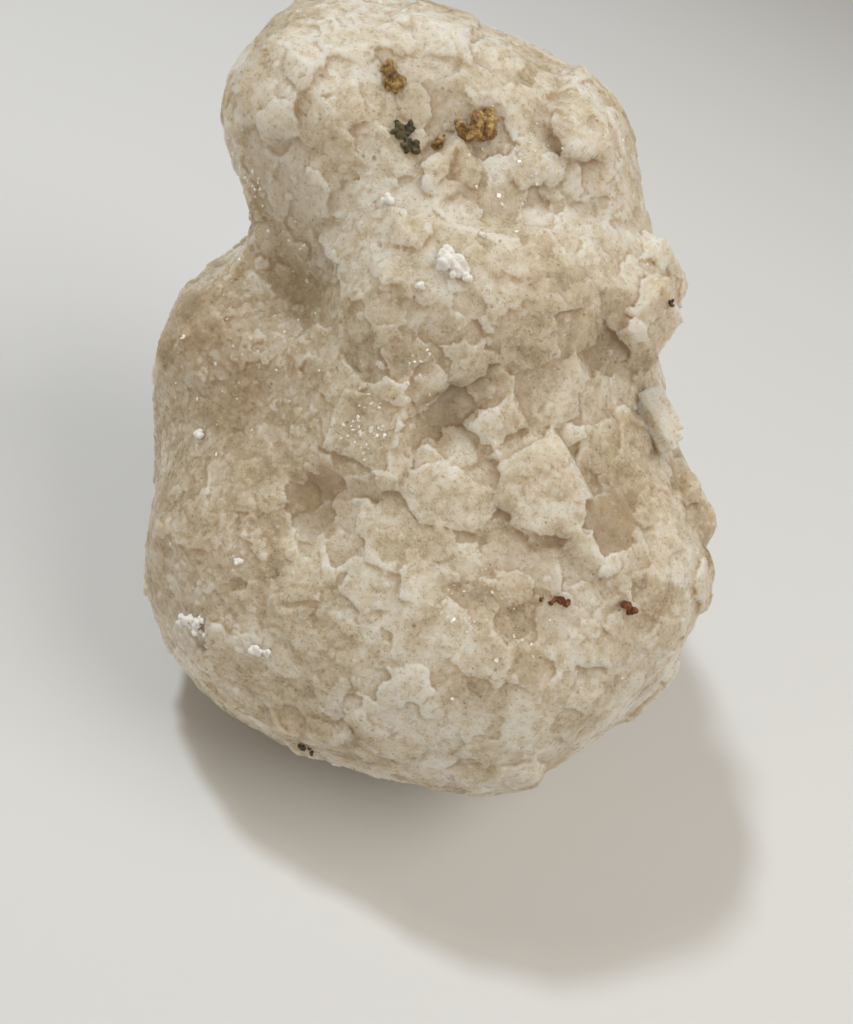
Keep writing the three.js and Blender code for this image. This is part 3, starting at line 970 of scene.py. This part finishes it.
def bloom_material():
    material = clay_material("powdery_bloom", ((0.3, (0.86, 0.85, 0.82)), (0.7, (0.97, 0.97, 0.95))), 2200.0)
    shader = material.node_tree.nodes["Principled BSDF"]
    shader.inputs["Subsurface Weight"].default_value = 0.3
    shader.inputs["Subsurface Radius"].default_value = (1.0, 1.0, 1.0)
    shader.inputs["Subsurface Scale"].default_value = 0.6 * MM
    return material


# ---------------------------------------------------------------- stage, lights and camera

def stage_floor():
    deselect_all()
    bpy.ops.mesh.primitive_plane_add(size=FLOOR_SIZE)
    floor = bpy.context.active_object
    floor.name = "floor"
    material, nodes, links = new_material("pale_table")
    shader = nodes["Principled BSDF"]
    shader.inputs["Base Color"].default_value = (*FLOOR_COLOUR, 1)
    shader.inputs["Roughness"].default_value = 0.7
    floor.data.materials.append(material)


def area_light(name, compass, height, distance, size, power, colour):
    """A soft light that looks at the specimen from a compass angle and a height angle."""
    flat = math.cos(math.radians(height))
    offset = Vector((
        flat * math.sin(math.radians(compass)),
        -flat * math.cos(math.radians(compass)),
        math.sin(math.radians(height)),
    ))
    lamp = bpy.data.lights.new(name, "AREA")
    lamp.shape = "DISK"
    lamp.size = size
    lamp.energy = power
    lamp.color = colour
    light = bpy.data.objects.new(name, lamp)
    bpy.context.scene.collection.objects.link(light)
    target = Vector((0, 0, 0.045))
    light.location = target + offset * distance
    light.rotation_euler = (-offset).to_track_quat("-Z", "Y").to_euler()


def studio_lights():
    area_light("softbox", 239, 58, 0.9, 0.09, 3.4, (0.88, 0.96, 1.0))
    area_light("lamp", 250, 60, 0.9, 0.07, 0.4, (1.0, 0.86, 0.70))
    area_light("right_fill", 80, 50, 0.6, 0.5, 1.9, (1.0, 0.94, 0.85))
    area_light("left_fill", 315, 12, 0.6, 0.4, 0.60, (1.0, 0.92, 0.78))
    world = bpy.data.worlds.new("soft_room")
    world.use_nodes = True
    background = world.node_tree.nodes["Background"]
    background.inputs["Color"].default_value = (1.0, 0.86, 0.68, 1)
    background.inputs["Strength"].default_value = 0.26
    bpy.context.scene.world = world
    bpy.context.scene.view_settings.view_transform = "Standard"


def place_camera():
    lens = bpy.data.cameras.new("camera")
    lens.lens = CAMERA_LENS
    lens.clip_start = 0.01
    camera = bpy.data.objects.new("camera", lens)
    bpy.context.scene.collection.objects.link(camera)
    down = math.radians(CAMERA_HEIGHT_ANGLE)
    roll = math.radians(CAMERA_ROLL)
    ahead = Vector((0, math.cos(down), -math.sin(down)))
    level_right = Vector((1, 0, 0))
    level_up = Vector((0, math.sin(down), math.cos(down)))
    right = level_right * math.cos(roll) + level_up * math.sin(roll)
    up = level_up * math.cos(roll) - level_right * math.sin(roll)
    turn = Matrix((right, up, -ahead)).transposed().to_4x4()
    camera.matrix_world = Matrix.Translation(Vector(CAMERA_AIM) - ahead * CAMERA_DISTANCE) @ turn
    bpy.context.scene.camera = camera


# ---------------------------------------------------------------- the specimen

def finish_piece(piece, material, slot, *nodes):
    piece.data.materials.clear()
    piece.data.materials.append(material)
    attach(piece, "root")
    if nodes:
        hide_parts(*nodes)


def build_specimen():
    mass = halite_mass()
    salt = halite_material()
    finish_piece(mass, salt, "halite", "halite_cluster")
    finish_piece(striated_stack(), salt, "halite")
    tree = skin_tree(mass)
    finish_piece(salt_chips(tree, mass), chip_material(), "halite")
    finishes = {
        "ochre": (clay_material("ochre_clay", OCHRE_STOPS, 900.0), "brown_clay"),
        "dark": (clay_material("dark_clay", DARK_STOPS, 1200.0), "dark_clay"),
        "rust": (clay_material("rust_crust", RUST_STOPS, 1200.0), "rust"),
        "bloom": (bloom_material(), "salt_bloom"),
    }
    for node, finish, *habit in HEAPS:
        material, slot = finishes[finish]
        finish_piece(heap(node, tree, *habit), material, slot, node)


place_camera()
stage_floor()
studio_lights()
build_specimen()
